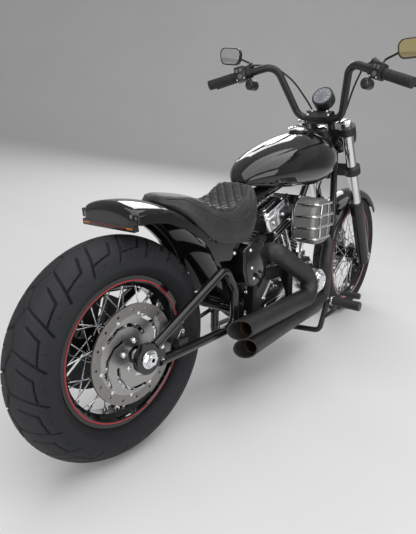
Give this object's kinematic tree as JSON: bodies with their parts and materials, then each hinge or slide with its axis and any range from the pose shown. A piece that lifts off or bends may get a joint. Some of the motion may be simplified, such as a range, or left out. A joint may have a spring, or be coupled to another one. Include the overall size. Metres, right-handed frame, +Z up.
{
  "type": "bobber motorcycle",
  "caption": "Parked bobber motorcycle with an air-cooled V-twin, wire wheels, solo seat, high bars, slash-cut pipes and a side stand.",
  "frame": {"origin": "bottom centre of the bounding box, on the ground the machine stands on", "axes": "+X forward along the machine, +Y to the rider's left, +Z up; the machine leans to +Y on its side stand"},
  "size_m": [2.285, 0.9926, 1.3401],
  "materials": {
    "tyre_rubber": "worn black rubber",
    "gloss_black": "deep gloss",
    "satin_black": "satin",
    "matte_black": "heat-proof matte",
    "bright_chrome": "mirror polish",
    "polished_alloy": "polished",
    "brake_steel": "ground",
    "black_leather": "soft satin",
    "black_rubber": "matte",
    "red_lens": "clear gloss",
    "filter_grey": "woven mesh"
  },
  "bodies": {
    "frame": {"rear_axle": "bright_chrome", "drive_belt": "black_rubber", "swingarm_right": "gloss_black", "swingarm_left": "gloss_black", "rear_caliper": "satin_black", "frame_backbone": "gloss_black", "frame_cradle_right": "gloss_black", "frame_cradle_left": "gloss_black", "crankcase": "satin_black", "gearbox_cover": "polished_alloy", "primary_cover": "satin_black", "cylinder_rear": "satin_black", "cylinder_front": "satin_black", "rocker_cover_rear": "bright_chrome", "rocker_cover_front": "bright_chrome", "pushrod_tubes": "bright_chrome", "cam_cover": "bright_chrome", "air_cleaner": "filter_grey", "exhaust_upper": "matte_black", "exhaust_lower": "matte_black", "fuel_tank": "gloss_black", "fuel_cap": "gloss_black", "rear_fender": "gloss_black", "tail_light": "red_lens", "fender_struts": "gloss_black", "seat": "black_leather", "oil_tank": "satin_black", "side_covers": "satin_black", "foot_controls": "bright_chrome"},
    "rear_wheel": {"rear_tyre": "tyre_rubber", "rear_rim": "gloss_black", "rear_hub": "bright_chrome", "rear_disc": "brake_steel", "rear_pulley": "satin_black"},
    "steering": {"lower_clamp": "satin_black", "upper_clamp": "satin_black", "fork_tubes": "bright_chrome", "fork_legs": "gloss_black", "front_axle": "bright_chrome", "front_fender": "gloss_black", "front_caliper": "satin_black", "handlebar": "gloss_black", "bar_clamp": "satin_black", "speedometer": "satin_black", "grips": "black_rubber", "hand_controls": "satin_black", "mirrors": "satin_black", "front_indicators": "satin_black", "headlight": "gloss_black", "brake_hose": "black_rubber", "clutch_cable": "black_rubber"},
    "front_wheel": {"front_tyre": "tyre_rubber", "front_rim": "gloss_black", "front_hub": "bright_chrome", "front_disc": "brake_steel"},
    "side_stand": {"side_stand": "satin_black"}
  },
  "joints": [
    {"name": "rear_wheel_spin", "type": "hinge", "parent": "frame", "child": "rear_wheel", "pos_m": [-0.8185, -0.09278, 0.32192], "axis": [0, 0.9914, -0.1305], "continuous": true},
    {"name": "steering", "type": "hinge", "parent": "frame", "child": "steering", "pos_m": [0.48552, -0.026, 0.82916], "axis": [-0.5, 0.113, 0.8586], "range_deg": [-28, 28]},
    {"name": "front_wheel_spin", "type": "hinge", "parent": "steering", "child": "front_wheel", "pos_m": [0.8115, -0.09186, 0.32886], "axis": [0, 0.9914, -0.1305], "continuous": true},
    {"name": "side_stand_fold", "type": "hinge", "parent": "frame", "child": "side_stand", "pos_m": [-0.0485, 0.02634, 0.13881], "axis": [0.1619, 0.5617, 0.8113], "range_deg": [0, 105]}
  ]
}
